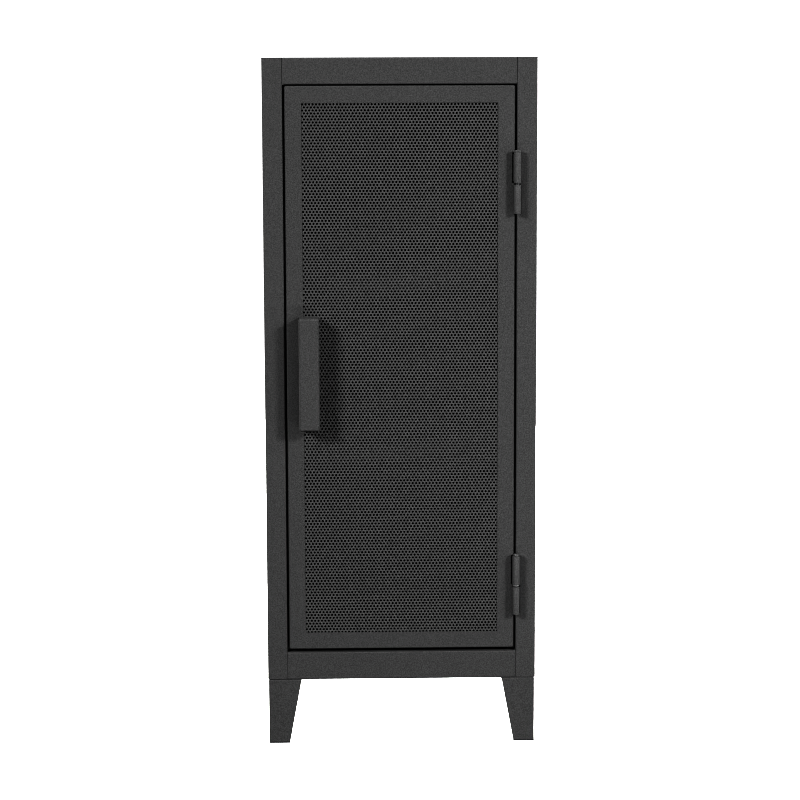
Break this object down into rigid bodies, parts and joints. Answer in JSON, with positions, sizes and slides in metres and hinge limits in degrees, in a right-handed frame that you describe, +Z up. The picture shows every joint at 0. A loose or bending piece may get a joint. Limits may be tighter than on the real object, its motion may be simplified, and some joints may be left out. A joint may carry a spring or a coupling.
{
  "type": "metal locker",
  "caption": "Free-standing sheet steel locker on tapered folded legs, with shelves inside and one perforated door with a box handle on lift-off hinges.",
  "frame": {"origin": "on the floor, under the middle of the whole object, handle included", "axes": "+Z up, the door faces -Y, +X to the right seen from the front, towards the hinges"},
  "size_m": [0.4, 0.435, 1.02],
  "materials": {
    "powder_coat": "matte, fine-textured anthracite powder coat",
    "zinc_steel": "bright zinc plate",
    "bright_steel": "bare turned steel",
    "black_plastic": "moulded, matte",
    "rubber": "matte",
    "magnet": "sintered ferrite"
  },
  "bodies": {
    "cabinet": {"back_panel": "powder_coat", "bottom_panel": "powder_coat", "catch_housing": "black_plastic", "catch_magnet": "magnet", "catch_pole_plates": "zinc_steel", "catch_screws": "zinc_steel", "door_bumpers": "rubber", "foot_glide_front_left": "black_plastic", "foot_glide_front_right": "black_plastic", "foot_glide_rear_left": "black_plastic", "foot_glide_rear_right": "black_plastic", "hinge_lower_frame_knuckle": "powder_coat", "hinge_lower_pin": "bright_steel", "hinge_lower_washer": "bright_steel", "hinge_upper_frame_knuckle": "powder_coat", "hinge_upper_pin": "bright_steel", "hinge_upper_washer": "bright_steel", "leg_bolts": "zinc_steel", "leg_front_left": "powder_coat", "leg_front_right": "powder_coat", "leg_nuts": "zinc_steel", "leg_rear_left": "powder_coat", "leg_rear_right": "powder_coat", "shelf_clips_lower": "zinc_steel", "shelf_clips_upper": "zinc_steel", "shelf_lower": "powder_coat", "shelf_upper": "powder_coat", "shelf_upright_front_left": "zinc_steel", "shelf_upright_front_right": "zinc_steel", "shelf_upright_rear_left": "zinc_steel", "shelf_upright_rear_right": "zinc_steel", "side_panel_left": "powder_coat", "side_panel_right": "powder_coat", "top_panel": "powder_coat"},
    "door": {"door_frame": "powder_coat", "door_perforated_panel": "powder_coat", "door_handle": "powder_coat", "hinge_upper_door_knuckle": "powder_coat", "hinge_lower_door_knuckle": "powder_coat", "hinge_upper_cap": "powder_coat", "hinge_lower_cap": "bright_steel", "catch_strike_plate": "zinc_steel", "strike_rivets": "zinc_steel"}
  },
  "joints": [
    {"name": "door_swing", "type": "hinge", "parent": "cabinet", "child": "door", "pos_m": [0.1706, -0.1922, 0.5], "axis": [0, 0, 1], "range_deg": [0, 180]}
  ]
}
